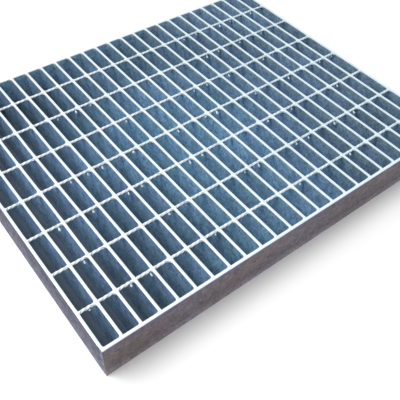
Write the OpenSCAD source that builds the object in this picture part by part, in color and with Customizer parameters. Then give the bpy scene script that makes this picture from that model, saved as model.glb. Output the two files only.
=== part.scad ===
// Steel grating panel: a heavy-duty trench or walkway panel, hot-dip galvanised.
// Flat bearing bars stand on edge and run from front to back. Twisted square cross
// rods are forge-welded through their tops, so the rods lie flush with the walking
// surface. A flat end band as deep as the bars closes the bar ends at the front and
// the back, and a fillet bead joins each bar to each band.
//
// The origin is at the middle of the underside. X runs across the bearing bars,
// Y runs along them from the front band to the back band, and Z is up.

/* [Bearing bars] */
// Number of bearing bars, the two side bars included
bar_count = 25; // [3:1:30]
// Centre distance from one bearing bar to the next
bar_pitch = 41.25; // [25:0.25:48]
// Thickness of a bearing bar
bar_t = 6; // [3:0.5:10]
// Depth of a bearing bar, which is the height of the panel
bar_depth = 100; // [40:1:150]

/* [Cross rods] */
// Number of cross rods
rod_count = 7; // [2:1:8]
// Centre distance from one cross rod to the next
rod_pitch = 100; // [50:1:150]
// Side of the square rod before it is twisted
rod_side = 6; // [4:0.5:8]
// Length of rod in which the square makes one full turn
rod_lead = 48; // [40:1:96]
// Depth of the rod's highest corners below the walking surface
rod_set = 0.3; // [0.1:0.1:2]

/* [End bands] */
// Thickness of the flat bar over the bar ends
band_t = 6; // [3:0.5:10]
// Distance from the inner face of the front band to the first cross rod
front_run = 85; // [30:1:120]
// Distance from the last cross rod to the inner face of the back band
back_run = 93; // [30:1:120]

/* [End welds] */
// Leg of the fillet bead between a bar and a band
weld_leg = 5; // [3:0.5:10]
// Thickness left at the toes of the hollow bead
weld_toe = 0.6; // [0.3:0.1:1.5]
// Drop of the bead's upper end below the walking surface
weld_drop = 0.5; // [0.2:0.1:5]
// Height at which the bead starts above the underside
weld_start = 12; // [0:1:30]

/* [Hidden] */

bar_span = (bar_count - 1) * bar_pitch;
panel_x = bar_span + bar_t;
bar_len = front_run + (rod_count - 1) * rod_pitch + back_run;
panel_y = bar_len + 2 * band_t;
front_y = band_t - panel_y / 2;
back_y = front_y + bar_len;
rod_z = bar_depth - rod_set - rod_side / sqrt(2);
rod_turns = bar_span / rod_lead;
slices_per_turn = 8;
overrun = 1;
bead_facets = 48;

function bar_x(i) = i * bar_pitch - bar_span / 2;
function rod_y(j) = front_y + front_run + j * rod_pitch;

// Bearing bar: a flat bar on edge, centred on its own thickness.
module bearing_bar() {
    translate([-bar_t / 2, front_y, 0]) cube([bar_t, bar_len, bar_depth]);
}

// Cross rod: a square bar twisted about its length, its ends held inside the side bars.
module cross_rod() {
    translate([-bar_span / 2, 0, rod_z]) rotate([0, 90, 0])
        linear_extrude(height = bar_span, twist = 360 * rod_turns,
                       slices = round(rod_turns * slices_per_turn), segments = 4)
            square(rod_side, center = true);
}

// Mat: the bearing bars with the cross rods fused through their tops.
module mat() {
    color("SlateGray") {
        for (i = [0 : bar_count - 1]) translate([bar_x(i), 0, 0]) bearing_bar();
        for (j = [0 : rod_count - 1]) translate([0, rod_y(j), 0]) cross_rod();
    }
}

// End band: a flat bar on edge, its inner face at y = 0.
module end_band() {
    translate([-panel_x / 2, -band_t, 0]) cube([panel_x, band_t, bar_depth]);
}

module front_band() {
    color("DimGray") translate([0, front_y, 0]) end_band();
}

module back_band() {
    color("DimGray") translate([0, back_y, 0]) mirror([0, 1, 0]) end_band();
}

// Fillet bead: hollow-faced, in the corner of a bar's left side and a band's inner face.
module fillet_bead() {
    bead_top = bar_depth - weld_drop;
    difference() {
        translate([-weld_leg, 0, weld_start])
            cube([weld_leg, weld_leg, bead_top - weld_start]);
        translate([-weld_leg, weld_leg, weld_start - overrun])
            cylinder(r = weld_leg - weld_toe, h = bead_top - weld_start + 2 * overrun,
                     $fn = bead_facets);
    }
}

// End welds: a bead at the left side of each bearing bar but the first, whose left
// side is the outside of the panel, and one at the inner side of that first bar.
module end_welds() {
    for (i = [1 : bar_count - 1])
        translate([bar_x(i) - bar_t / 2, 0, 0]) fillet_bead();
    translate([bar_x(0) + bar_t / 2, 0, 0]) mirror([1, 0, 0]) fillet_bead();
}

module front_welds() {
    color("Gainsboro") translate([0, front_y, 0]) end_welds();
}

module back_welds() {
    color("Gainsboro") translate([0, back_y, 0]) mirror([0, 1, 0]) end_welds();
}

mat();
front_band();
back_band();
front_welds();
back_welds();
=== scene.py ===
# %% [markdown]
# # A hot-dip galvanised steel grating panel
# The panel is a heavy floor or trench cover. Flat bearing bars stand on edge, twisted
# square rods are forged through their tops, and a flat band closes the bar ends. The
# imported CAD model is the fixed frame: every place below is worked out from its boxes.
# This file gives the steel its rounded edges, its weld metal and its zinc skin.

# %% Load the frame and read the panel's own sizes
import math

import bmesh
import bpy
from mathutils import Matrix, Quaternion, Vector


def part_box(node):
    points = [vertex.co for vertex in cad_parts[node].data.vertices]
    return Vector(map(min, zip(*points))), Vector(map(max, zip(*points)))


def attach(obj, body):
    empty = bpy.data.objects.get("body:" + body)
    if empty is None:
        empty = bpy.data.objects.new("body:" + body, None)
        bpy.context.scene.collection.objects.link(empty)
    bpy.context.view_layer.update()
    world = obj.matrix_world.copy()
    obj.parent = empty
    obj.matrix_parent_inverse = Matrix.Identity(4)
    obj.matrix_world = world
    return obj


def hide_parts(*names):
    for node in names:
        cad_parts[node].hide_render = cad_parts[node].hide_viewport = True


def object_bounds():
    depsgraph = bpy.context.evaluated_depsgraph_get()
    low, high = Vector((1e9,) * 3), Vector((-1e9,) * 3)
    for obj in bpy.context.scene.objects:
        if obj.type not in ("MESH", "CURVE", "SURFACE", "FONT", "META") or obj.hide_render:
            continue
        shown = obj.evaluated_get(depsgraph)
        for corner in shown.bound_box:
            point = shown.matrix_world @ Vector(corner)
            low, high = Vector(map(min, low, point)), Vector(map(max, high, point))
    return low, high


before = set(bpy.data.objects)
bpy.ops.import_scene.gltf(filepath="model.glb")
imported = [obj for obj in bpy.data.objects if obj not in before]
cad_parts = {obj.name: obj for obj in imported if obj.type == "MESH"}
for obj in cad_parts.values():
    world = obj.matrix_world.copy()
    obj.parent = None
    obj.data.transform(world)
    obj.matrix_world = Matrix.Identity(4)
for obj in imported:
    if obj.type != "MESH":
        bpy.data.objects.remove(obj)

MM = 0.001
cad_low, cad_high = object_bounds()
mat_low, mat_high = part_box("mat")
panel_depth = cad_high.z - cad_low.z
bar_length = mat_high.y - mat_low.y
print("panel", [round(size / MM) for size in cad_high - cad_low], "mm")
print("bars run", round(bar_length / MM), "mm between the bands")

# %% [markdown]
# The frame gives outer boxes only, so the sizes inside them are named here once: how
# many bars and rods there are, how thick they are and how far apart they sit. The
# first and last bars are flush with the sides, which fixes the pitch of the rest.

# %% Name the sizes inside the boxes
BAR_COUNT = 25
BAR_THICK = 6 * MM
ROD_COUNT = 7
ROD_PITCH = 100 * MM
ROD_SIDE = 6 * MM
ROD_LEAD = 48 * MM
ROD_SET = 0.3 * MM
FRONT_RUN = 85 * MM
EDGE_RADIUS = 0.8 * MM

bar_pitch = (cad_high.x - cad_low.x - BAR_THICK) / (BAR_COUNT - 1)
bar_span = (BAR_COUNT - 1) * bar_pitch
first_bar = cad_low.x + BAR_THICK / 2
rod_span = (ROD_COUNT - 1) * ROD_PITCH
first_rod = mat_low.y + FRONT_RUN
middle_rod = first_rod + rod_span / 2
rod_height = cad_high.z - ROD_SET - ROD_SIDE / math.sqrt(2)
print("bar pitch", round(bar_pitch / MM, 2), "mm")
print("rods centred at a height of", round(rod_height / MM, 1), "mm")

# %% [markdown]
# Node trees are long to wire by hand. A link is one output socket that can be added,
# multiplied or subtracted like a number, and each sign adds the Math node it stands
# for, so a mask reads as the sum that it is.

# %% A socket that does sums
class Link:
    """One output socket. Python's signs on it add Math nodes to its tree."""

    def __init__(self, maker, socket):
        self.maker = maker
        self.socket = socket

    def out(self, name):
        """Another output of the same node."""
        return Link(self.maker, self.socket.node.outputs[name])

    def swing(self, reach):
        """Turns 0 to 1 into a swing about zero, of reach from end to end."""
        return (self - 0.5) * reach

    def __add__(self, other):
        return self.maker.math("ADD", self, other)

    def __radd__(self, other):
        return self.maker.math("ADD", other, self)

    def __sub__(self, other):
        return self.maker.math("SUBTRACT", self, other)

    def __rsub__(self, other):
        return self.maker.math("SUBTRACT", other, self)

    def __mul__(self, other):
        return self.maker.math("MULTIPLY", self, other)

    def __rmul__(self, other):
        return self.maker.math("MULTIPLY", other, self)

    def __truediv__(self, other):
        return self.maker.math("DIVIDE", self, other)

    def __rtruediv__(self, other):
        return self.maker.math("DIVIDE", other, self)

    def __pow__(self, other):
        return self.maker.math("POWER", self, other)

    def __rpow__(self, other):
        return self.maker.math("POWER", other, self)

    def __neg__(self):
        return self.maker.math("MULTIPLY", self, -1.0)

    def __abs__(self):
        return self.maker.math("ABSOLUTE", self)

    def __gt__(self, other):
        return self.maker.math("GREATER_THAN", self, other)

    def __lt__(self, other):
        return self.maker.math("LESS_THAN", self, other)


def between(first, second, share):
    """first where share is 0, second where it is 1."""
    return first + share * (second - first)


print("sums on sockets ready")

# %% [markdown]
# Every other node is made in one way: its type, its settings, then its sockets. The
# settings go first because some of them change which sockets a node has. The few
# kinds of node that turn up again and again get a short name of their own.

# %% The one way to add a node
class Maker:
    """Adds nodes to one tree."""

    def __init__(self, tree):
        self.tree = tree

    def add(self, kind, settings=None, sockets=None, out=0):
        """Makes a node and returns its output number or name out, if it has outputs."""
        made = self.tree.nodes.new(kind)
        for key, value in (settings or {}).items():
            setattr(made, key, value)
        self.feed(made, sockets or {})
        return Link(self, made.outputs[out]) if made.outputs else None

    def feed(self, node, sockets):
        """Fills a node's sockets. A link is joined, a list of links joins in order."""
        for key, value in sockets.items():
            for item in value if isinstance(value, list) else [value]:
                if isinstance(item, Link):
                    self.tree.links.new(item.socket, node.inputs[key])
                else:
                    node.inputs[key].default_value = item

    def math(self, operation, *values):
        """A Math node, which is what the signs of a link add."""
        return self.add("ShaderNodeMath", {"operation": operation}, dict(enumerate(values)))

    def vectors(self, operation, *values):
        """A Vector Math node, for places, directions and colours."""
        settings = {"operation": operation}
        return self.add("ShaderNodeVectorMath", settings, dict(enumerate(values)))

    def parts(self, vector):
        """The x, y and z of a vector, or the three channels of a colour."""
        split = self.add("ShaderNodeSeparateXYZ", {}, {0: vector})
        return split, split.out(1), split.out(2)

    def vector(self, x, y, z):
        """One vector from three numbers or links."""
        return self.add("ShaderNodeCombineXYZ", {}, {0: x, 1: y, 2: z})

    def noise(self, place, scale, detail=2.0, rough=0.5, out=0):
        """Smooth noise round 0.5: scale waves to each unit of place, finer ones on top."""
        sockets = {"Vector": place, "Scale": scale, "Detail": detail, "Roughness": rough}
        return self.add("ShaderNodeTexNoise", {}, sockets, out)

    def step(self, value, low, high):
        """0 below low, 1 above high, and a smooth climb between them."""
        settings = {"interpolation_type": "SMOOTHSTEP"}
        sockets = {"Value": value, "From Min": low, "From Max": high}
        return self.add("ShaderNodeMapRange", settings, sockets)

    def blend(self, share, first, second):
        """The first colour where share is 0, the second where it is 1."""
        settings = {"data_type": "RGBA", "clamp_factor": True}
        return self.add("ShaderNodeMix", settings, {0: share, 6: first, 7: second}, out=2)

    def shade(self, colour, factor):
        """A colour or a direction, made stronger or weaker by a number."""
        settings = {"operation": "SCALE"}
        return self.add("ShaderNodeVectorMath", settings, {0: colour, "Scale": factor})


print("maker ready")

# %% [markdown]
# Zinc freezes on the steel as crystals a centimetre or so across, the spangle. Each
# one tilts its own way, so each has its own tone and gloss. On top come broad clouds
# of blue and grey, faint runs where the melt drained, small flecks and a fine grain. A
# painted image could show all this, but it would have to be wrapped round every bar.
# Noise in the object's own coordinates covers every piece at once, without a seam.
# Cell noise gives the crystals, and a slow drift bends their edges, so that they look
# grown and not ruled.

# %% Zinc skin: the pattern that every finish shares
# Waves or cells to the metre.
CRYSTALS = 95.0
DRIFT = 55.0
CLOUDS = 9.0
RUNS = (38.0, 38.0, 8.0)
GRAIN = 330.0
PRISM = 290.0
FLECKS = 150.0
DENTS = 38.0
# How far the drift bends a crystal, and where the noise of two masks starts and is full.
BEND = 10 * MM
CLOUD_EDGE = (0.32, 0.68)
FLECK_EDGE = (0.36, 0.64)


def zinc_pattern(make):
    """Object-space masks of a galvanised face, each one from 0 to 1."""
    place = make.add("ShaderNodeTexCoord", out="Object")
    drift = make.noise(place, DRIFT, 3.0, out="Color")
    bent = make.vectors("MULTIPLY_ADD", drift, (BEND,) * 3, place)
    cell = {"Vector": bent, "Scale": CRYSTALS}
    tilt, gloss, hue = make.parts(make.add("ShaderNodeTexVoronoi", {}, cell, out="Color"))
    drained = make.vectors("MULTIPLY", place, RUNS)
    return {
        "place": place,
        "tilt": tilt,
        "gloss": gloss,
        "hue": hue,
        "clouds": make.step(make.noise(place, CLOUDS, 4.0), *CLOUD_EDGE),
        "runs": make.noise(drained, 1.0, 3.0),
        "grain": make.noise(place, GRAIN, 3.0, 0.6),
        "prism": make.noise(place, PRISM, 2.0, 0.6, out="Color"),
        "flecks": make.step(make.noise(place, FLECKS, 3.0, 0.6), *FLECK_EDGE),
        "dents": make.noise(place, DENTS, 3.0),
    }


print("crystals about", round(1 / CRYSTALS / MM), "mm across")

# %% [markdown]
# The same masks give the tone, the hue and the bumps, so that a crystal that shines
# differently also stands out a little. The grain changes hue as well as tone, because
# a thin oxide tints fresh zinc slightly. All of it swings round the finish's own
# colour, so the colour can be set by itself and the speckle by itself.

# %% Zinc skin: speckle and bumps
# How far the grain and the flecks swing the tone, and how high each mask stands.
GRAIN_TONE = 1.90
FLECK_TONE = 0.26
CRYSTAL_BUMP = 0.12
GRAIN_BUMP = 0.30
RUN_BUMP = 0.50
BUMP_HEIGHT = 0.6 * MM


def speckled(make, pattern, colour, spangle, play):
    """A colour that varies in tone by crystals, flecks and grain, and in hue by play."""
    tone = 1.0 + pattern["tilt"].swing(spangle)
    tone = tone + pattern["grain"].swing(GRAIN_TONE) + pattern["flecks"].swing(FLECK_TONE)
    hues = make.vectors("MULTIPLY_ADD", pattern["prism"], (play * 2,) * 3, (1 - play,) * 3)
    return make.vectors("MULTIPLY", make.shade(colour, tone), hues)


def zinc_relief(make, pattern, strength):
    """Bumps of the dents, the crystals, the grain and the runs."""
    height = pattern["tilt"] * CRYSTAL_BUMP + pattern["dents"]
    height = height + pattern["grain"] * GRAIN_BUMP + pattern["runs"] * RUN_BUMP
    sockets = {"Height": height, "Strength": strength, "Distance": BUMP_HEIGHT}
    return make.add("ShaderNodeBump", {}, sockets)


print("speckle and bumps ready")

# %% [markdown]
# Upward faces are the pale ones: partly the wear of feet and rain, partly painted light,
# since they face the light. The pale colour runs a few millimetres down from the top
# edge, with a wavy border. Painting the tops as separate faces would give a ruled
# border, so the pale top is a mask from the face's own direction and its height. Where
# it acts, the skin is paler and a little less metallic. Towards the right of the panel
# the tops turn slightly blue.

# %% Zinc skin: worn and lit tops, and the finish as a whole
WHITE = (1.0, 1.0, 1.0, 1.0)
BRIGHT = (0.92, 0.98, 1.0, 1.0)
FROST = (0.80, 0.94, 1.0, 1.0)
FROST_GROWS = (-0.30, 0.35)
# A face counts as upward by its normal's z. The pale top, wear and painted light, is full at
# this share of its reach.
FACES_UP = (0.45, 0.85)
FULLY_WORN_AND_LIT = 0.35
WAVY_BORDER = 1.2 * MM
# How far the crystals swing the tone of the tops, how far crystals and clouds swing the
# roughness, and how much less metallic the tops are.
TOP_GLOSS = 0.05
CRYSTAL_ROUGH = 0.16
CLOUD_ROUGH = 0.10
TOP_METAL_LOSS = 0.35


def worn_and_lit_tops(make, pattern, worn_and_lit_reach):
    """1 on faces that look up and just under the top edge, 0 further down than
    worn_and_lit_reach: wear and painted light.
    """
    normal = make.add("ShaderNodeNewGeometry", out="Normal")
    # Upward faces are paler: partly wear, partly painted light because they face the light.
    upward_worn_and_lit = make.step(make.parts(normal)[2], *FACES_UP)
    height = make.parts(pattern["place"])[2] + pattern["dents"].swing(WAVY_BORDER)
    # The band under the top edge is partly wear, partly painted light that whitens rods and
    # drops.
    worn_and_lit = make.step(height, cad_high.z - worn_and_lit_reach, cad_high.z - worn_and_lit_reach * FULLY_WORN_AND_LIT)
    return make.math("MAXIMUM", upward_worn_and_lit, worn_and_lit)


def coat_steel(name, colour_of, worn_and_lit_reach=4.0 * MM, metal=0.6, rough=0.42, relief=0.35,
               spangle=0.52, play=0.34, sheen=WHITE, level=0.5, wear_and_shade_of=None):
    """A zinc finish. colour_of gives the sides, and worn_and_lit_reach how far down wear and
    painted light reach.

    spangle is how much the crystals differ in tone, play how much the hue wavers from
    grain to grain, sheen and level the colour and the strength of the shine.
    wear_and_shade_of, if given, says how much of the pale top each place gets, less where
    it paints shade.
    """
    finish = bpy.data.materials.new(name)
    finish.use_nodes = True
    make = Maker(finish.node_tree)
    pattern = zinc_pattern(make)
    side = speckled(make, pattern, colour_of(make, pattern), spangle, play)
    worn_and_lit = worn_and_lit_tops(make, pattern, worn_and_lit_reach)
    if wear_and_shade_of:
        worn_and_lit = worn_and_lit * wear_and_shade_of(make, pattern)
    frosted = make.step(make.parts(pattern["place"])[0], *FROST_GROWS)
    gleam = between(1.0 - TOP_GLOSS, 1.0, pattern["gloss"])
    crown = make.shade(make.blend(frosted, BRIGHT, FROST), gleam)
    wavers = pattern["gloss"].swing(CRYSTAL_ROUGH) + pattern["clouds"].swing(CLOUD_ROUGH)
    make.feed(finish.node_tree.nodes["Principled BSDF"], {
        "Base Color": make.blend(worn_and_lit, side, crown),
        "Roughness": rough + wavers,
        "Metallic": metal - worn_and_lit * TOP_METAL_LOSS,
        "Normal": zinc_relief(make, pattern, relief),
        "Specular Tint": sheen,
        "Specular IOR Level": level,
    })
    print("finish", name, "with", len(finish.node_tree.nodes), "nodes")
    return finish


print("zinc skin ready")

# %% [markdown]
# No two bars of a real mat are equally light: each is rolled from its own batch of
# steel, and the melt runs down them in streaks. On top of that comes painted light and
# shade: the panel is painted lightest in its middle from front to back, lighter low down
# in its middle columns, and darker at its left and right ends. A noise stretched along
# the bars gives the batches, and slow masks with a named start and end give the rest.
# The result is a number about 1, which is later multiplied into the colour, so that
# tone and colour can be set one at a time.

# %% The tone of the bars
# Where the tone changes: up the bars, and from left to right.
LOW_BRIGHT = (50 * MM, 84 * MM)
MIDDLE_GROWS = (-0.24, -0.10)
MIDDLE_FADES = (0.10, 0.26)
RIGHT_SHADE_GROWS = (-0.12, 0.32)
# From front to back, in metres from the panel's middle.
BELLY_GROWS = (-0.70, 0.0)
BELLY_FADES = (0.05, 0.36)
# Waves to the metre across the bars and along them, for the batches of steel.
BATCH = (31.0, 5.0)

# The tone at the front of the middle, and how much each mask swings it, adds or takes.
BAR_TONE = 0.86
RUN_TONE = 0.34
CLOUD_TONE = 0.10
BATCH_TONE = 0.45
MIDDLE_GAIN = 0.13
BELLY_GAIN = 0.25
LEFT_LOSS = 0.06
RIGHT_LOSS = 0.25


def bar_tone(make, pattern, left, right):
    """How light the bars are from place to place, about 1: the zinc's own tone, with painted
    light and shade.
    """
    x, y, z = make.parts(pattern["place"])
    middle = make.step(x, *MIDDLE_GROWS) * (1 - make.step(x, *MIDDLE_FADES))
    # Painted light: the lower parts of the middle columns are lighter.
    painted_light_low = (1 - make.step(z, *LOW_BRIGHT)) * middle * MIDDLE_GAIN
    batch = make.noise(make.vector(x * BATCH[0], y * BATCH[1], 0.0), 1.0)
    patches = pattern["runs"].swing(RUN_TONE) + pattern["clouds"].swing(CLOUD_TONE)
    patchy = 1.0 + painted_light_low + patches + batch.swing(BATCH_TONE)
    # Painted light and shade: lighter in the middle from front to back, darker at both ends.
    belly = make.step(y, *BELLY_GROWS) * (1 - make.step(y, *BELLY_FADES) * (1 - right))
    overall = BAR_TONE + belly * BELLY_GAIN - left * LEFT_LOSS
    overall = overall - make.step(x, *RIGHT_SHADE_GROWS) * RIGHT_LOSS
    return patchy * overall


print("bar tones about", BAR_TONE, "to", BAR_TONE + BELLY_GAIN, "before the patches")

# %% [markdown]
# The mat is seen between its bars, where each face reflects the sky and the bar
# opposite. Its zinc is a cool blue-grey that drifts from teal to violet. The middle
# keeps the three zinc tones, and the two ends turn to ash and sky blue, with the blue
# high up at the left and low down at the right. One colour for all bars would look like
# paint, so slow masks in x and z turn it, each with a named start, end and strength.

# %% The finish of the bars
TEAL = (0.27, 0.74, 0.70, 1.0)
SLATE = (0.35, 0.64, 0.76, 1.0)
VIOLET = (0.51, 0.55, 0.84, 1.0)
SKY_BLUE = (0.41, 0.57, 0.91, 1.0)
ASH = (0.53, 0.68, 0.75, 1.0)

# Shares of slate, violet and pale zinc: anywhere, and what each mask adds.
SLATE_ANYWHERE = 0.14
SLATE_IN_CLOUDS = 0.32
SLATE_IN_FLECKS = 0.40
VIOLET_IN_CRYSTALS = 0.35
VIOLET_PAST_FLECKS = 0.20
PALE_ANYWHERE = 0.37
PALE_AT_LEFT = 0.33
PALE_AT_RIGHT = 0.24

# From left to right, in metres from the panel's middle.
LEFT_FADES = (-0.42, -0.12)
RIGHT_GROWS = (0.05, 0.30)
BLUE_SINKS = (-0.40, 0.25)
# From the underside up: the blue lies high at the left and low at the right.
HIGH_BLUE = (30 * MM, 92 * MM)
LOW_BLUE = (70 * MM, 94 * MM)


def bar_sides(make, pattern):
    """Blue-grey between the bars, made lighter or darker by bar_tone."""
    x, y, z = make.parts(pattern["place"])
    clouds, flecks = pattern["clouds"], pattern["flecks"]
    left = 1 - make.step(x, *LEFT_FADES)
    right = make.step(x, *RIGHT_GROWS)
    slate = SLATE_ANYWHERE + clouds * SLATE_IN_CLOUDS + flecks * SLATE_IN_FLECKS
    violet = pattern["hue"] * VIOLET_IN_CRYSTALS + (1 - flecks) * VIOLET_PAST_FLECKS
    colour = make.blend(violet, make.blend(slate, TEAL, SLATE), VIOLET)
    sunk = make.step(x, *BLUE_SINKS)
    blue = between(make.step(z, *HIGH_BLUE), 1 - make.step(z, *LOW_BLUE), sunk)
    pale = PALE_ANYWHERE + left * PALE_AT_LEFT + right * PALE_AT_RIGHT
    colour = make.blend(pale, colour, make.blend(blue, ASH, SKY_BLUE))
    return make.shade(colour, bar_tone(make, pattern, left, right))


bar_zinc = coat_steel("bar_zinc", bar_sides, worn_and_lit_reach=3.4 * MM, relief=0.26, spangle=0.40,
                      sheen=(0.62, 0.66, 0.95, 1.0))

# %% [markdown]
# The outside of the panel is duller than the mat and hardly shines. Its colours are
# darker and more neutral than the mat's: partly its own zinc, partly painted shade. Two
# things run along it: a violet cast just under the top edge, and a paler zone low down,
# painted light that lifts the shade at the foot. The side bars are plain grey. The
# bands are a mottled brown, darkened as painted shade. A band has two faces, so its mask
# asks how far out a point lies, and the inside keeps the blue-grey of the mat.

# %% The finishes of the outside
# The outside greys are darker than the mat's zinc, partly painted shade.
SHADED_GREY = (0.105, 0.106, 0.142, 1.0)
PALER_SHADED_GREY = (0.135, 0.137, 0.176, 1.0)
TINT = (0.11, 0.10, 0.27, 1.0)
TINT_SHARE = 0.55
# The cast starts and is full this far below the top edge.
TINT_DROPS = (18 * MM, 5 * MM)
# The painted light at the foot is strongest here, just under the panel, and fades upwards.
LIGHT_LIFT_START = -4 * MM
LIGHT_LIFT_SHARE = 0.5


def edge_tint(make, z, colour, light_lift_top, light_lift_gain):
    """Adds the cast under the top edge, and painted light below light_lift_top that lifts the
    shade at the foot.
    """
    cast = make.step(z, cad_high.z - TINT_DROPS[0], cad_high.z - TINT_DROPS[1])
    # Painted light: the foot is paler to lift the shade there.
    low = 1 - make.step(z, LIGHT_LIFT_START, light_lift_top)
    colour = make.blend(cast * TINT_SHARE, colour, TINT)
    colour = make.blend(low * LIGHT_LIFT_SHARE, colour, PALER_SHADED_GREY)
    return make.shade(colour, 1 + low * light_lift_gain)


def flank_sides(make, pattern):
    """Dull grey on the outside of the two side bars, darkened as painted shade."""
    z = make.parts(pattern["place"])[2]
    colour = make.blend(pattern["runs"], SHADED_GREY, PALER_SHADED_GREY)
    return edge_tint(make, z, colour, light_lift_top=78 * MM, light_lift_gain=0.5)


# The band's colours are darkened, partly painted shade.
UMBER = (0.150, 0.113, 0.121, 1.0)
MAUVE = (0.156, 0.133, 0.170, 1.0)
LICHEN = (0.132, 0.130, 0.126, 1.0)
LICHEN_IN_CRYSTALS = 0.3
CLOUDED_SHARE = 0.7
# The band is dimmer towards its ends, this far from a place left of its middle.
BAND_BRIGHT_X = -0.15
BAND_DIMS = (0.12, 0.33)
BAND_LOSS = 0.16
SKIN_DEPTH = 3.5 * MM


def band_sides(make, pattern):
    """Brown-grey mottling on the outside, darkened as painted shade; the bars' blue-grey on
    the inside.
    """
    x, y, z = make.parts(pattern["place"])
    clouds, hue = pattern["clouds"], pattern["hue"]
    outer = make.blend(hue * LICHEN_IN_CRYSTALS, make.blend(clouds, UMBER, MAUVE), LICHEN)
    outer = edge_tint(make, z, outer, light_lift_top=32 * MM, light_lift_gain=1.35)
    outer = make.shade(outer, 1.0 - make.step(abs(x - BAND_BRIGHT_X), *BAND_DIMS) * BAND_LOSS)
    inner = make.blend(clouds * CLOUDED_SHARE, SLATE, make.blend(hue, ASH, VIOLET))
    outside = abs(y) > cad_high.y - SKIN_DEPTH
    return make.blend(outside, inner, outer)


flank_zinc = coat_steel("flank_zinc", flank_sides, worn_and_lit_reach=3.4 * MM, metal=0.30, rough=0.60,
                        sheen=(0.30, 0.30, 0.45, 1.0), level=0.25)
band_zinc = coat_steel("band_zinc", band_sides, worn_and_lit_reach=4 * MM, metal=0.45, rough=0.50,
                       spangle=0.38, play=0.44)

# %% [markdown]
# Feet polish a cross rod on its twisted corners, and leave the flats between them
# grey, more so in places where few people tread. Towards the right of the panel the
# rods are darker, a painted shade. The mask measures how far a point lies from the axis
# of the nearest rod, so one finish serves all seven rods: the corners of the square are
# the points that lie furthest.

# %% The finish of the rods
HOLLOW_DARK = (0.34, 0.48, 0.64, 1.0)
HOLLOW_PALE = (0.50, 0.60, 0.74, 1.0)
# Painted shade under the rods.
ROD_SHADE_UNDER = (0.12, 0.19, 0.27, 1.0)
ROD_SHADE_FADES = (rod_height - 1 * MM, rod_height + 3 * MM)


def rod_sides(make, pattern):
    """Pale blue zinc in the hollows of the twist, with painted shade under the rod."""
    z = make.parts(pattern["place"])[2]
    hollow = make.blend(pattern["flecks"], HOLLOW_DARK, HOLLOW_PALE)
    return make.blend(make.step(z, *ROD_SHADE_FADES), ROD_SHADE_UNDER, hollow)


# Wear of the flats, and of corners that few feet reach: at the left and at the right. The
# lower value at the right is painted shade.
FLAT_WEAR_AND_SHADE = (0.58, 0.28)
FLAT_SHADE_GROWS = (-0.40, 0.45)
QUIET_WEAR_AND_SHADE = (0.75, 0.58)
QUIET_SHADE_GROWS = (-0.45, 0.40)
CORNER_REACH = (0.48 * ROD_SIDE, 0.55 * ROD_SIDE)
# Waves to the metre of the places where feet tread, and where they start and are full.
TREADS = (26.0, 13.0)
TREAD_EDGE = (0.30, 0.54)


def rod_wear_and_shade(make, pattern):
    """How much wear a place gets: all on a trodden corner, less on flats and off the path. The
    loss towards the right is painted shade.
    """
    x, y, z = make.parts(pattern["place"])
    beat = (y - first_rod) / ROD_PITCH
    across = (beat - make.math("ROUND", beat)) * ROD_PITCH
    up = z - rod_height
    reach = (across * across + up * up) ** 0.5
    # Painted shade: the flats and quiet corners grow darker towards the right.
    flat = between(*FLAT_WEAR_AND_SHADE, make.step(x, *FLAT_SHADE_GROWS))
    corner = between(flat, 1.0, make.step(reach, *CORNER_REACH))
    quiet = between(*QUIET_WEAR_AND_SHADE, make.step(x, *QUIET_SHADE_GROWS))
    treads = make.noise(make.vector(x * TREADS[0], y * TREADS[1], 0.0), 1.0)
    return corner * between(quiet, 1.0, make.step(treads, *TREAD_EDGE))


rod_zinc = coat_steel("rod_zinc", rod_sides, worn_and_lit_reach=6 * MM, metal=0.40, rough=0.45,
                      wear_and_shade_of=rod_wear_and_shade)

# %% [markdown]
# Zinc lies thick and pale over weld metal, because the rough bead holds more of the
# melt than a smooth bar. The corner welds lie on the outside, so they are dull like it.
# A drop is painted near white all round, partly its pale zinc and partly a painted
# highlight, which is why its pale top reaches further down than the drop does.

# %% The finishes of the weld metal and of the drops
WELD_BLUE = (0.46, 0.62, 0.74, 1.0)
WELD_LILAC = (0.58, 0.64, 0.80, 1.0)
SEAM_DARK = (0.13, 0.13, 0.18, 1.0)
SEAM_PALE = (0.25, 0.25, 0.34, 1.0)
DROP_BLUE = (0.84, 0.92, 1.0, 1.0)
DROP_WHITE = (0.92, 0.95, 1.0, 1.0)


def weld_sides(make, pattern):
    """Clouded pale blue on the flares and the fillet beads."""
    return make.blend(pattern["clouds"], WELD_BLUE, WELD_LILAC)


def seam_sides(make, pattern):
    """Flecked dull grey on the corner welds."""
    return make.blend(pattern["flecks"], SEAM_DARK, SEAM_PALE)


def drop_sides(make, pattern):
    """Nearly white on the drops, partly a painted highlight."""
    return make.blend(pattern["flecks"], DROP_BLUE, DROP_WHITE)


weld_zinc = coat_steel("weld_zinc", weld_sides, worn_and_lit_reach=6 * MM, metal=0.5, relief=0.6)
seam_zinc = coat_steel("seam_zinc", seam_sides, metal=0.40, rough=0.55, relief=0.6,
                       sheen=(0.50, 0.50, 0.65, 1.0), level=0.35)
# Painted highlight: the pale top covers the whole drop.
drop_zinc = coat_steel("drop_zinc", drop_sides, worn_and_lit_reach=20 * MM, metal=0.4)

# %% [markdown]
# Bars, rods and welds repeat by rule, so Geometry Nodes make them. Copying objects in
# a loop would work too, but a tree keeps its sizes as named inputs and bends every
# copy a little differently in one place. The result is turned into a plain mesh
# straight away, because an exported model keeps meshes and drops instances.

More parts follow.
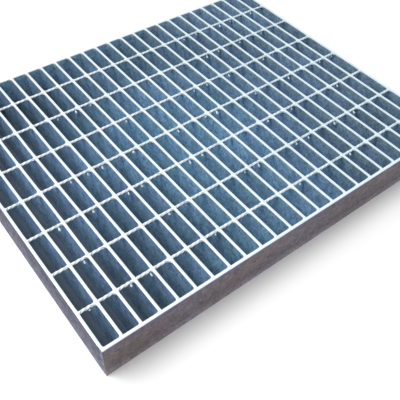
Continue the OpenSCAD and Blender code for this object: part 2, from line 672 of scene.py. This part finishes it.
# %% Start a geometry tree, and grow a plain mesh from it
def geometry_tree(name, sizes):
    """An empty tree with one input for each named size, and its maker."""
    tree = bpy.data.node_groups.new(name, "GeometryNodeTree")
    for label, value in sizes.items():
        kind = "NodeSocketInt" if isinstance(value, int) else "NodeSocketFloat"
        tree.interface.new_socket(label, in_out="INPUT", socket_type=kind)
    tree.interface.new_socket("Geometry", in_out="OUTPUT", socket_type="NodeSocketGeometry")
    make = Maker(tree)
    entry = make.add("NodeGroupInput")
    return make, {label: entry.out(label) for label in sizes}


def settle(piece, smooth=False):
    """Turns a piece's modifiers into a plain mesh, and says how large it came out."""
    graph = bpy.context.evaluated_depsgraph_get()
    mesh = bpy.data.meshes.new_from_object(piece.evaluated_get(graph), depsgraph=graph)
    piece.modifiers.clear()
    seed, piece.data = piece.data, mesh
    bpy.data.meshes.remove(seed)
    mesh.name = piece.name
    finish = [coat for coat in mesh.materials if coat][0]
    mesh.materials.clear()
    mesh.materials.append(finish)
    mesh.polygons.foreach_set("material_index", [0] * len(mesh.polygons))
    if smooth:
        mesh.shade_smooth()
    else:
        mesh.shade_flat()
    mesh.calc_loop_triangles()
    print(piece.name, len(mesh.loop_triangles), "triangles")
    for axis, letter in enumerate("xyz"):
        places = [vertex.co[axis] / MM for vertex in mesh.vertices]
        print("   ", letter, "from", round(min(places), 2), "to", round(max(places), 2), "mm")
    return piece


def grow(make, shape, finish, sizes, smooth=False):
    """Ends the tree in Realize Instances and Set Material, and returns its mesh piece."""
    name = make.tree.name
    real = make.add("GeometryNodeRealizeInstances", {}, {0: shape})
    coated = make.add("GeometryNodeSetMaterial", {}, {"Geometry": real, "Material": finish})
    make.add("NodeGroupOutput", {}, {0: coated})
    piece = bpy.data.objects.new(name, bpy.data.meshes.new(name))
    bpy.context.scene.collection.objects.link(piece)
    modifier = piece.modifiers.new(name, "NODES")
    modifier.node_group = make.tree
    for item in make.tree.interface.items_tree:
        if item.in_out == "INPUT":
            modifier[item.identifier] = sizes[item.name]
    return settle(piece, smooth)


print("geometry trees ready")

# %% [markdown]
# Four moves come up in nearly every tree. Points in a row carry copies. Copies become
# real before they are bent, because a move on instances shifts them whole. Lumps push
# a surface along its normals, as scale and thick zinc do. The last move presses all
# of it back inside the panel's own box, so that no lump makes the panel larger.

# %% The moves that the trees share
def row_of(make, count, start, stride):
    """Points in a row, from start on by stride."""
    return make.add("GeometryNodeMeshLine", {"mode": "OFFSET"},
                    {"Count": count, "Start Location": start, "Offset": stride})


def copies(make, points, shape, **how):
    """One real copy of a shape at each point. how may choose points or scale the copies."""
    sockets = {"Points": points, "Instance": shape, **how}
    placed = make.add("GeometryNodeInstanceOnPoints", {}, sockets)
    return make.add("GeometryNodeRealizeInstances", {}, {0: placed})


def lumpy(make, shape, waves, height):
    """Pushes a surface in and out, by a noise of that many waves to the metre."""
    place = make.add("GeometryNodeInputPosition")
    push = make.noise(place, waves).swing(height)
    out = make.shade(make.add("GeometryNodeInputNormal"), push)
    return make.add("GeometryNodeSetPosition", {}, {"Geometry": shape, "Offset": out})


def keep_inside(make, shape, inset=0.0):
    """Presses a shape back inside the panel's box, or inset further in from its sides."""
    margin = Vector((inset, inset, 0.0))
    place = make.add("GeometryNodeInputPosition")
    raised = make.vectors("MAXIMUM", place, cad_low + margin)
    pressed = make.vectors("MINIMUM", raised, cad_high - margin)
    return make.add("GeometryNodeSetPosition", {}, {"Geometry": shape, "Position": pressed})


def mirror_along(make, shape, axis):
    """The mirror image of a shape in one axis, its faces turned to point outwards again."""
    scale = tuple(-1.0 if number == axis else 1.0 for number in range(3))
    flipped = make.add("GeometryNodeTransform", {}, {"Geometry": shape, "Scale": scale})
    return make.add("GeometryNodeFlipFaces", {}, {0: flipped})


print("rows, copies, lumps and mirrors ready")

# %% [markdown]
# A bearing bar is a hot-rolled flat: square in section with edges rounded by the
# rolls. A cube with a Bevel would give that shape, but not the swelling at each rod.
# So a plain block of vertices has its rows moved to where the shape changes: a row
# just inside each corner for the rounding, and rows close together near the top.

# %% The section of a bearing bar
ROWS_ACROSS = 4
ROWS_UP = 9
ROWS_ALONG = 97
# In the unit block, only the outermost rows lie past these, and the next ones lie here.
OUTER_X = 0.4
OUTER_Z = 0.45
NEXT_Z = 0.5 - 1 / (ROWS_UP - 1)
# The power that crowds rows towards the edges, and the share of the edge radius that
# a corner loses.
CROWDING = 0.35
CORNER_CUT = 0.3


def rolled_flat(make, size):
    """A flat bar on edge, centred in X, from the start of the mat and z = 0 up."""
    rows = {"Size": (1.0, 1.0, 1.0), "Vertices X": ROWS_ACROSS, "Vertices Y": ROWS_ALONG,
            "Vertices Z": ROWS_UP}
    block = make.add("GeometryNodeMeshCube", {}, rows)
    x, y, z = make.parts(make.add("GeometryNodeInputPosition"))
    radius, middle = size["Edge radius"], size["Depth"] / 2
    rim_x = abs(x) > OUTER_X
    rim_z = abs(z) > OUTER_Z
    corner = rim_x * rim_z * radius * CORNER_CUT
    new_x = make.math("SIGN", x) * (size["Thickness"] / 2 - radius * (1 - rim_x) - corner)
    spread = make.math("MINIMUM", abs(z) / NEXT_Z, 1.0) ** CROWDING
    reach = (middle - radius) * spread + radius * rim_z - corner
    new_z = middle + make.math("SIGN", z) * reach
    new_y = size["Start"] + size["Length"] * (y + 0.5)
    moved = {"Geometry": block, "Position": make.vector(new_x, new_y, new_z)}
    return make.add("GeometryNodeSetPosition", {}, moved)


print("bar section with", ROWS_ACROSS, "by", ROWS_UP, "rows")

# %% [markdown]
# Real bars are never quite straight, so all but the two side bars wander by about a
# millimetre: a slow noise, different for each bar number, that dies out at the bands.
# Forging squeezes a rod into the hot bar, which swells on both sides of it. A bell
# curve round the nearest rod gives the swelling, and only near the top. The ends of
# the side bars are drawn in a little, to make the groove for the corner welds.

# %% Bearing bars
GROOVE = 1.2 * MM
bar_sizes = {
    "Count": BAR_COUNT,
    "First": first_bar,
    "Pitch": bar_pitch,
    "Thickness": BAR_THICK,
    "Depth": panel_depth,
    "Start": mat_low.y,
    "Length": bar_length,
    "Edge radius": EDGE_RADIUS,
    "Wander": 5.2 * MM,  # the noise uses about half of it, so 1.3 mm either way
    "Swell": 0.7 * MM,
    "Swell reach": 7 * MM,
    "Groove": GROOVE,
}
# The noise that the bars wander by: its step from bar to bar, and its waves to the metre.
WANDER_STEP = 7.31
WANDER_WAVES = 3.2
WANDER_SLICE = 0.5
# The zone up the bar that forging heats, and where a tip starts, as a share of the
# length from the bar's middle.
HEATED = (84 * MM, 97 * MM)
TIP = 0.4995
SIDE_SKIN = 0.5 * MM


def bearing_bars():
    """All the bars as one mesh, each one bent a little in its own way."""
    make, size = geometry_tree("bearing_bars", bar_sizes)
    row = row_of(make, size["Count"], make.vector(size["First"], 0.0, 0.0),
                 make.vector(size["Pitch"], 0.0, 0.0))
    bars = copies(make, row, rolled_flat(make, size))

    x, y, z = make.parts(make.add("GeometryNodeInputPosition"))
    number = make.math("ROUND", (x - size["First"]) / size["Pitch"])
    along = (y - size["Start"]) / size["Length"]
    free = make.math("SINE", along * math.pi) ** 0.5
    inner = (number > 0.5) * (number < BAR_COUNT - 1.5)
    path = make.vector(number * WANDER_STEP, y * WANDER_WAVES, WANDER_SLICE)
    wander = make.noise(path, 1.0, 1.0).swing(size["Wander"]) * free * inner

    beat = (y - first_rod) / ROD_PITCH
    away = abs(beat - make.math("ROUND", beat)) * ROD_PITCH / size["Swell reach"]
    bulge = math.e ** (-(away * away)) * make.step(z, *HEATED) * size["Swell"]
    offset = x - size["First"] - number * size["Pitch"]
    swollen = make.math("SIGN", offset) * bulge

    tip = (abs(along - 0.5) > TIP) * (abs(x) > cad_high.x - SIDE_SKIN)
    groove = make.math("SIGN", x) * tip * size["Groove"]
    shift = make.vector(wander + swollen - groove, 0.0, 0.0)
    moved = make.add("GeometryNodeSetPosition", {}, {"Geometry": bars, "Offset": shift})
    return grow(make, keep_inside(make, moved), bar_zinc, bar_sizes)


bars = bearing_bars()

# %% [markdown]
# The bars are one piece, but the outsides of the two side bars have the dull finish of
# the flank. Each face may name another finish of the piece's list, so the faces that
# lie on the sides of the panel and look outwards take the second one.

# %% The outsides of the side bars
FLANK_SKIN = 1.0 * MM
FACES_OUT = 0.5

bars.data.materials.append(flank_zinc)
flank_faces = [
    face for face in bars.data.polygons
    if abs(face.center.x) > cad_high.x - FLANK_SKIN and abs(face.normal.x) > FACES_OUT
]
for face in flank_faces:
    face.material_index = 1
print(len(flank_faces), "faces have the flank's finish")

# %% [markdown]
# A cross rod is a square bar twisted cold, then pressed hot into the bar tops. A Screw
# or a twisted Simple Deform could turn a block, but a square swept along a line with
# a steady tilt keeps the lead as one number. Its corners come up as a row of crests
# that shoes can grip. The corners are slightly rounded, and a little noise stands for
# the scale and zinc that cling to them.

# %% Cross rods
rod_sizes = {
    "Count": ROD_COUNT,
    "First": first_rod,
    "Pitch": ROD_PITCH,
    "Side": ROD_SIDE,
    "Lead": ROD_LEAD,
    "Half length": bar_span / 2,
    "Height": rod_height,
    "Edge radius": 1.0 * MM,
    "Lumps": 0.60 * MM,
}
# Rings of corners along a rod, and waves to the metre of its lumps.
ROD_RINGS = 496
ROD_LUMP_WAVES = 260.0


def cross_rods():
    """All the rods as one mesh, each from the middle of one side bar to the other's."""
    make, size = geometry_tree("cross_rods", rod_sizes)
    half = size["Half length"]
    ends = {"Start": make.vector(-half, 0.0, size["Height"]),
            "End": make.vector(half, 0.0, size["Height"])}
    line = make.add("GeometryNodeCurvePrimitiveLine", {}, ends)
    line = make.add("GeometryNodeResampleCurve", {}, {"Curve": line, "Count": ROD_RINGS})
    x = make.parts(make.add("GeometryNodeInputPosition"))[0]
    tilt = (x + half) / size["Lead"] * -2 * math.pi
    line = make.add("GeometryNodeSetCurveTilt", {}, {"Curve": line, "Tilt": tilt})
    square = make.add("GeometryNodeCurvePrimitiveQuadrilateral", {},
                      {"Width": size["Side"], "Height": size["Side"]})
    square = make.add("GeometryNodeFilletCurve", {"mode": "POLY"},
                      {"Curve": square, "Count": 2, "Radius": size["Edge radius"]})
    swept = {"Curve": line, "Profile Curve": square, "Fill Caps": True}
    rod = make.add("GeometryNodeCurveToMesh", {}, swept)
    row = row_of(make, size["Count"], make.vector(0.0, size["First"], 0.0),
                 make.vector(0.0, size["Pitch"], 0.0))
    rods = lumpy(make, copies(make, row, rod), ROD_LUMP_WAVES, size["Lumps"])
    return grow(make, keep_inside(make, rods), rod_zinc, rod_sizes)


rods = cross_rods()

# %% [markdown]
# Weld metal in an inside corner has a hollow face. A four-pointed star with curved-in
# sides, the astroid, is that shape: two of its arms lie along the plates and the metal
# hangs between them like a web. Its arms may have different lengths, and those that
# point into the steel stay short. A tube with such a section makes both the forged
# flare at a crossing and the fillet bead at a bar end.

# %% A post with a star section
# A ring's seam may fall a hair below zero turn, and the caps' middles stay at the axis.
SEAM_HAIR = -0.001
CAP_MIDDLE = (0.2, 0.5)


def star_post(make, reach, sides, rows, dense):
    """A closed upright post, x and y as a star with arms reach = (-x, +x, -y, +y).

    The corners of the tube crowd into the quarter between the -x and +y arms when dense
    is true. Returns the mesh, the star's two coordinates and the height from 0 to 1.
    """
    tube = {"Vertices": sides, "Side Segments": rows, "Radius": 1.0, "Depth": 1.0}
    post = make.add("GeometryNodeMeshCylinder", {"fill_type": "TRIANGLE_FAN"}, tube)
    x, y, z = make.parts(make.add("GeometryNodeInputPosition"))
    turn = make.math("ARCTAN2", y, x) / (2 * math.pi)
    turn = turn + (turn < SEAM_HAIR)
    if dense:
        # Half of the corners share the quarter from 0.25 to 0.5, the rest the other three.
        half = make.math("MINIMUM", turn * 2, 1.0)
        rest = make.math("MAXIMUM", turn * 2 - 1, 0.0)
        turn = 0.25 + half * 0.25 + rest * 0.75
    angle = turn * (2 * math.pi)
    rim = make.step(x * x + y * y, *CAP_MIDDLE)
    cosine = make.math("COSINE", angle)
    sine = make.math("SINE", angle)
    left, right, front, back = reach
    star_x = cosine ** 3.0 * ((cosine < 0) * left + (cosine > 0) * right) * rim
    star_y = sine ** 3.0 * ((sine < 0) * front + (sine > 0) * back) * rim
    return post, star_x, star_y, z + 0.5


print("star post ready")

# %% [markdown]
# Forging squeezes hot metal out of each crossing. It sets as a small web in the corners
# between rod and bar, largest in front of the rod on the bar's left, where the zinc
# also gathers as it drains. One web at each point of a grid is enough, and the scale
# of each copy is drawn at random from a fixed seed, so no two crossings match.

# %% Forged flares at the crossings
flare_sizes = {
    "Across": BAR_COUNT,
    "Along": ROD_COUNT,
    "Arm": 13.5 * MM,
    "Short arm": 9.5 * MM,
    "Height": 11 * MM,
    "Off centre": 0.6 * MM,
    "Top gap": 0.2 * MM,
    "Seed": 11,
}
# The foot's width as a share of the full one, and where up the flare it opens and closes.
FLARE_FOOT = 0.30
FLARE_OPENS = (0.0, 0.72)
FLARE_CLOSES = (0.9, 1.0)
FLARE_CLOSES_BY = 0.12
SMALLEST_FLARE = (0.72, 0.72, 1.0)
LARGEST_FLARE = (1.20, 1.25, 1.0)


def crossing_flares():
    """One web of forged metal at each crossing, each of another width."""
    make, size = geometry_tree("crossing_flares", flare_sizes)
    reach = (size["Arm"], size["Short arm"], size["Arm"], size["Short arm"])
    post, star_x, star_y, up = star_post(make, reach, sides=16, rows=3, dense=False)
    spread = between(FLARE_FOOT, 1.0, make.step(up, *FLARE_OPENS))
    spread = spread - make.step(up, *FLARE_CLOSES) * FLARE_CLOSES_BY
    high = cad_high.z - size["Top gap"] - size["Height"] * (1 - up)
    aside = size["Off centre"]
    shaped = make.vector(star_x * spread - aside, star_y * spread - aside, high)
    flare = make.add("GeometryNodeSetPosition", {}, {"Geometry": post, "Position": shaped})

    grid = {"Size X": bar_span, "Size Y": rod_span,
            "Vertices X": size["Across"], "Vertices Y": size["Along"]}
    points = make.add("GeometryNodeMeshGrid", {}, grid)
    points = make.add("GeometryNodeSetPosition", {},
                      {"Geometry": points, "Offset": (0.0, middle_rod, 0.0)})
    scale = make.add("FunctionNodeRandomValue", {"data_type": "FLOAT_VECTOR"},
                     {"Min": SMALLEST_FLARE, "Max": LARGEST_FLARE, "Seed": size["Seed"]})
    flares = copies(make, points, flare, Scale=scale)
    return grow(make, keep_inside(make, flares, BAR_THICK / 2), weld_zinc, flare_sizes)


flares = crossing_flares()

# %% [markdown]
# Molten zinc drains off as the panel is lifted from the bath, and the last of it
# freezes as drops that hang from the rods near the crossings. Only some crossings
# have one. A simulation of the melt would be slow and no truer at this size: a ball
# some six millimetres across is stretched a little, and its upper half is drawn into a
# neck that leans back into the rod, so that every drop hangs from something.

# %% Zinc drops under the rods
drop_sizes = {
    "Across": BAR_COUNT,
    "Along": ROD_COUNT,
    "Radius": 3.1 * MM,
    "Length": 3.3 * MM,
    "Neck forward": 5.4 * MM,
    "Neck up": 1.6 * MM,
    "Share": 0.26,
    "Seed": 29,
}
# Where up the unit ball the neck starts, and how much thinner it is than the ball.
NECK_FROM = 0.3
NECK_THINNER = 0.28
# A drop's place: across as a share of the pitch, forward of the rod's axis, and up.
NEAREST_DROP = (0.06, -1.6, -0.8)
FURTHEST_DROP = (0.34, -0.8, 0.6)
SMALLEST_DROP = (0.6, 0.6, 0.6)
LARGEST_DROP = (1.25, 1.25, 1.2)


def hanging_drop(make, size):
    """One drop, its neck's end at the origin and the rest below and in front of it."""
    ball = {"Segments": 8, "Rings": 6, "Radius": 1.0}
    ball = make.add("GeometryNodeMeshUVSphere", {}, ball)
    x, y, z = make.parts(make.add("GeometryNodeInputPosition"))
    slim = size["Radius"] * (1.0 - (z > NECK_FROM) * NECK_THINNER)
    neck = make.math("MAXIMUM", z, 0.0) - 1.0
    new_y = y * slim + neck * size["Neck forward"]
    new_z = (z - 1.0) * size["Length"] + neck * size["Neck up"]
    moved = {"Geometry": ball, "Position": make.vector(x * slim, new_y, new_z)}
    return make.add("GeometryNodeSetPosition", {}, moved)


def zinc_drops():
    """Drops near a random share of the crossings, as one mesh."""
    make, size = geometry_tree("zinc_drops", drop_sizes)
    grid = {"Size X": bar_span - bar_pitch, "Size Y": rod_span,
            "Vertices X": size["Across"] - 1, "Vertices Y": size["Along"]}
    points = make.add("GeometryNodeMeshGrid", {}, grid)
    scatter = make.add("FunctionNodeRandomValue", {"data_type": "FLOAT_VECTOR"},
                       {"Min": NEAREST_DROP, "Max": FURTHEST_DROP, "Seed": size["Seed"]})
    slide, forward, up = make.parts(scatter)
    offset = make.vector(slide * bar_pitch, middle_rod + forward * MM, rod_height + up * MM)
    points = make.add("GeometryNodeSetPosition", {}, {"Geometry": points, "Offset": offset})
    chance = make.add("FunctionNodeRandomValue", {"data_type": "FLOAT"},
                      {"Min": 0.0, "Max": 1.0, "Seed": size["Seed"] + 1}, out=1)
    chosen = make.add("FunctionNodeCompare", {"data_type": "FLOAT", "operation": "LESS_THAN"},
                      {0: chance, 1: size["Share"]})
    scale = make.add("FunctionNodeRandomValue", {"data_type": "FLOAT_VECTOR"},
                     {"Min": SMALLEST_DROP, "Max": LARGEST_DROP, "Seed": size["Seed"] + 2})
    drops = copies(make, points, hanging_drop(make, size), Scale=scale, Selection=chosen)
    return grow(make, keep_inside(make, drops), drop_zinc, drop_sizes, smooth=True)


drops = zinc_drops()

# %% [markdown]
# A fillet bead ties each bar to the band, laid from the bottom up. The welder's
# rhythm shows as ripples a few millimetres apart. A plain wedge would fill the corner
# too, but the hollow star section with a wave up its length catches the light as a real
# bead does. Each bar has its bead on its left, but for the first bar, whose left is the
# outside of the panel: its bead is the mirror image of the others, on its inner side.
# The back row is the mirror image of the front one.

# %% Fillet beads at the two bands
bead_sizes = {
    "Count": BAR_COUNT - 1,
    "Leg": 5 * MM,
    "Buried arm": 3 * MM,
    "Foot": 12 * MM,
    "Top gap": 0.5 * MM,
    "Ripple": 3.4 * MM,
    "Lumps": 1.0 * MM,
}
# The ripples' depth and the foot's width as shares of the full width, and where up the
# bead it grows and ends.
RIPPLE_DEPTH = 0.045
BEAD_START = 0.55
BEAD_GROWS = (0.0, 0.08)
BEAD_ENDS = (0.90, 1.0)
BEAD_ENDS_BY = 0.36
BEAD_LUMP_WAVES = 190.0


def fillet_bead(make, size):
    """One bead in the corner of a bar's left side and a band's inner face."""
    leg, buried = size["Leg"], size["Buried arm"]
    reach = (leg, buried, buried, leg)
    post, star_x, star_y, up = star_post(make, reach, sides=10, rows=52, dense=True)
    high = size["Foot"] + up * (cad_high.z - size["Top gap"] - size["Foot"])
    beat = high * (2 * math.pi) / size["Ripple"]
    swell = between(BEAD_START, 1.0, make.step(up, *BEAD_GROWS))
    swell = swell - make.step(up, *BEAD_ENDS) * BEAD_ENDS_BY
    wave = (1.0 + make.math("SINE", beat) * RIPPLE_DEPTH) * swell
    shaped = {"Geometry": post, "Position": make.vector(star_x * wave, star_y * wave, high)}
    return make.add("GeometryNodeSetPosition", {}, shaped)


def fillet_beads(name, wall, inward):
    """The beads along one band: wall is the band's inner face, inward the way into the mat."""
    make, size = geometry_tree(name, bead_sizes)
    bead = fillet_bead(make, size)
    if inward < 0:
        bead = mirror_along(make, bead, 1)
    left_side = (first_bar + bar_pitch - BAR_THICK / 2, wall, 0.0)
    row = row_of(make, size["Count"], left_side, (bar_pitch, 0.0, 0.0))
    inner_side = (first_bar + BAR_THICK / 2, wall, 0.0)
    first = make.add("GeometryNodeTransform", {},
                     {"Geometry": mirror_along(make, bead, 0), "Translation": inner_side})
    both = make.add("GeometryNodeJoinGeometry", {}, {0: [copies(make, row, bead), first]})
    beads = lumpy(make, both, BEAD_LUMP_WAVES, size["Lumps"])
    return grow(make, keep_inside(make, beads), weld_zinc, bead_sizes, smooth=True)


front_beads = fillet_beads("front_weld_beads", mat_low.y, 1)
back_beads = fillet_beads("back_weld_beads", mat_high.y, -1)

# %% [markdown]
# The band is the same rolled flat as the bars, and it is welded last. Each bead
# shrinks as it cools and pulls the band in by a fraction of a millimetre, so a long
# band is never dead flat. There are only two bands and each is one plain block, so
# bmesh makes them without a tree. The block is cut into a column of faces for each
# quarter of the bar pitch, which lets it bend, and a Bevel rounds its outer edges.

# %% End bands
# How far a bead pulls the band in, and the power that makes the pull die out beside it.
PULL = 0.25 * MM
PULL_NARROWS = 8
COLUMNS_PER_PITCH = 4
CUTS_UP = 5
# A corner nearer to a face than this is on it, and edges sharper than this are rounded.
TOUCHING = 0.1 * MM
BEVEL_ABOVE = math.radians(50)


def band_block(low, high):
    """A bmesh block between two corners, cut into columns and rows."""
    work = bmesh.new()
    bmesh.ops.create_cube(work, size=1.0)
    for vertex in work.verts:
        share = vertex.co + Vector((0.5, 0.5, 0.5))
        vertex.co = Vector([low[i] + share[i] * (high[i] - low[i]) for i in range(3)])
    for axis, longest, cuts in ((0, panel_depth, (BAR_COUNT - 1) * COLUMNS_PER_PITCH - 1),
                                (2, panel_depth / 2, CUTS_UP)):
        edges = [edge for edge in work.edges
                 if abs(edge.verts[0].co[axis] - edge.verts[1].co[axis]) > longest]
        bmesh.ops.subdivide_edges(work, edges=edges, cuts=cuts, use_grid_fill=True)
    return work


def pull_in(vertex, low, face, outward):
    """Draws the outer face in at each bead, and the ends in for the corner welds."""
    beat = (vertex.co.x - first_bar) / bar_pitch
    middle = math.sin(math.pi * (vertex.co.z - low.z) / panel_depth)
    near_bead = math.cos(math.pi * (beat - round(beat))) ** PULL_NARROWS
    if abs(vertex.co.y - face) < TOUCHING:
        vertex.co.y -= outward * near_bead * PULL * middle
    elif abs(vertex.co.x) > cad_high.x - TOUCHING:
        vertex.co.x -= math.copysign(GROOVE, vertex.co.x)


def end_band(name, node, outward):
    """A band from its CAD box: outward is -1 at the front and 1 at the back."""
    low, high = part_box(node)
    face = low.y if outward < 0 else high.y
    work = band_block(low, high)
    for vertex in work.verts:
        pull_in(vertex, low, face, outward)
    bmesh.ops.recalc_face_normals(work, faces=work.faces)
    mesh = bpy.data.meshes.new(name)
    work.to_mesh(mesh)
    work.free()
    mesh.materials.append(band_zinc)
    piece = bpy.data.objects.new(name, mesh)
    bpy.context.scene.collection.objects.link(piece)
    bevel = piece.modifiers.new("rolled edges", "BEVEL")
    bevel.width = EDGE_RADIUS
    bevel.segments = 2
    bevel.limit_method = "ANGLE"
    bevel.angle_limit = BEVEL_ABOVE
    return settle(piece)


front_band = end_band("front_end_band", "front_band", -1)
back_band = end_band("back_end_band", "back_band", 1)

# %% [markdown]
# At the four corners the band meets the end of a side bar. The joint is grooved and
# filled from outside with an upright bead, whose cap is flush with the side. The zinc
# runs thick there, so the corner shows as a paler, rippled strip. One bead is made and
# mirrored twice, and keep_inside flattens what would stand out from the panel.

# %% Corner welds
corner_sizes = {
    "Half width": 6.4 * MM,
    "Half depth": 2.4 * MM,
    "Ripple": 4.1 * MM,
    "Shift": 1.6 * MM,
    "Foot": 1.0 * MM,
    "End gaps": 1.6 * MM,
    "Lumps": 1.0 * MM,
}
# The cap's mean width as a share of the full one, and how far the ripples swing it.
CAP_WIDTH = 0.93
CAP_RIPPLE = 0.06
CORNER_LUMP_WAVES = 150.0


def corner_welds():
    """The outside beads of the four corners, as one mesh."""
    make, size = geometry_tree("corner_welds", corner_sizes)
    tube = {"Vertices": 14, "Side Segments": 60, "Radius": 1.0, "Depth": 1.0}
    post = make.add("GeometryNodeMeshCylinder", {"fill_type": "TRIANGLE_FAN"}, tube)
    x, y, z = make.parts(make.add("GeometryNodeInputPosition"))
    high = size["Foot"] + (z + 0.5) * (panel_depth - size["End gaps"])
    beat = high * (2 * math.pi) / size["Ripple"]
    wave = CAP_WIDTH + make.math("SINE", beat) * CAP_RIPPLE
    new_x = cad_low.x + (1.0 + x * wave) * size["Half depth"]
    new_y = mat_low.y + size["Shift"] + y * size["Half width"] * wave
    weld = make.add("GeometryNodeSetPosition", {},
                    {"Geometry": post, "Position": make.vector(new_x, new_y, high)})
    left_seams = (weld, mirror_along(make, weld, 1))
    four = [seam for left in left_seams for seam in (left, mirror_along(make, left, 0))]
    seams = make.add("GeometryNodeJoinGeometry", {}, {0: four})
    seams = lumpy(make, seams, CORNER_LUMP_WAVES, size["Lumps"])
    return grow(make, keep_inside(make, seams), seam_zinc, corner_sizes, smooth=True)


corners = corner_welds()

# %% [markdown]
# Every piece rides on the panel's one body and stands in for the CAD solid that it
# dresses, which is hidden. Each row also names a finish of the record, which this loop
# leaves unused.

# %% Tie the pieces to the frame
for piece, node, slot in (
    (bars, "mat", "galvanised_mat"),
    (rods, "mat", "galvanised_mat"),
    (flares, "mat", "galvanised_weld"),
    (drops, "mat", "galvanised_weld"),
    (front_band, "front_band", "galvanised_band"),
    (back_band, "back_band", "galvanised_band"),
    (front_beads, "front_welds", "galvanised_weld"),
    (back_beads, "back_welds", "galvanised_weld"),
    (corners, "front_welds", "galvanised_weld"),
):
    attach(piece, "root")
    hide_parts(node)
print("pieces tied to the frame")

# %% [markdown]
# The floor is pale and plain, so that the dark cells and the shadow beside the panel
# read clearly. Under the panel the floor is painted a dark blue-grey, a painted shade
# where only the mesh shows it. One sheet with two colours does that, and stays flat.

# %% Floor
FLOOR_HALF = 6.0
FLOOR_GAP = 0.1 * MM
FLOOR_ROUGH = 0.9
PALE = (0.97, 0.97, 0.97, 1.0)
# Painted shade under the panel, where only the mesh shows the floor.
FLOOR_SHADE = (0.18, 0.205, 0.245, 1.0)
FLOOR_SHADE_EDGE = 3 * MM


def pale_floor():
    """A pale sheet under everything, with painted shade where only the mesh shows it."""
    mesh = bpy.data.meshes.new("floor")
    height = cad_low.z - FLOOR_GAP
    ring = [(x * FLOOR_HALF, y * FLOOR_HALF, height)
            for x, y in ((-1, -1), (1, -1), (1, 1), (-1, 1))]
    mesh.from_pydata(ring, [], [(0, 1, 2, 3)])
    floor = bpy.data.objects.new("floor", mesh)
    bpy.context.scene.collection.objects.link(floor)
    paint = bpy.data.materials.new("pale_floor")
    paint.use_nodes = True
    make = Maker(paint.node_tree)
    x, y = make.parts(make.add("ShaderNodeTexCoord", out="Object"))[:2]
    # Painted shade: the floor is dark under the panel.
    floor_shade = (abs(x) < cad_high.x - FLOOR_SHADE_EDGE) * (abs(y) < cad_high.y - FLOOR_SHADE_EDGE)
    make.feed(paint.node_tree.nodes["Principled BSDF"],
              {"Base Color": make.blend(floor_shade, PALE, FLOOR_SHADE), "Roughness": FLOOR_ROUGH})
    mesh.materials.append(paint)
    return floor


floor = pale_floor()
print("floor", round(floor.dimensions.x), "m wide")

# %% [markdown]
# A large soft lamp stands high on the left and a little behind, and an even white sky
# fills the rest. Together they light a level face at about strength 1, so a colour
# renders much as it is written. A smaller lamp would draw hard shadows into the cells.

# %% Sky and lamp
SKY_STRENGTH = 0.50
LAMP_SIZE = 5.76
LAMP_POWER = 700.0
LAMP_PLACE = Vector((-4.40, 1.84, 7.70))
LAMP_AIM = Vector((0.0, 0.0, 0.1))

world = bpy.data.worlds.new("sky")
world.use_nodes = True
bpy.context.scene.world = world
sky = world.node_tree.nodes["Background"]
sky.inputs["Color"].default_value = WHITE
sky.inputs["Strength"].default_value = SKY_STRENGTH

lamp = bpy.data.lights.new("softbox", "AREA")
lamp.shape = "SQUARE"
lamp.size = LAMP_SIZE
lamp.energy = LAMP_POWER
softbox = bpy.data.objects.new("softbox", lamp)
bpy.context.scene.collection.objects.link(softbox)
softbox.location = LAMP_PLACE
softbox.rotation_euler = (LAMP_AIM - LAMP_PLACE).to_track_quat("-Z", "Y").to_euler()
bpy.context.scene.view_settings.view_transform = "Standard"
print("lamp", round((LAMP_AIM - LAMP_PLACE).length, 1), "m from the panel")

# %% [markdown]
# The camera looks down over the near left corner and holds the panel close, so its
# far corners run out of the frame. A slight roll keeps the slope of the front edge.

# %% Camera
EYE = Vector((-0.6636, -0.8224, 1.0072))
AIM = Vector((-0.1492, -0.2208, 0.1))
ROLL = math.radians(3.616)
FOCAL_LENGTH = 50.78
SENSOR_WIDTH = 36.0

lens = bpy.data.cameras.new("camera")
lens.lens = FOCAL_LENGTH
lens.sensor_width = SENSOR_WIDTH
camera = bpy.data.objects.new("camera", lens)
bpy.context.scene.collection.objects.link(camera)
camera.location = EYE
look = (AIM - EYE).to_track_quat("-Z", "Y") @ Quaternion((0, 0, 1), ROLL)
camera.rotation_euler = look.to_euler()
bpy.context.scene.camera = camera
print("camera", round((AIM - EYE).length, 3), "m from the place it looks at")

# %% [markdown]
# Last, the scene is brought up to date.

# %% Finish
bpy.context.view_layer.update()
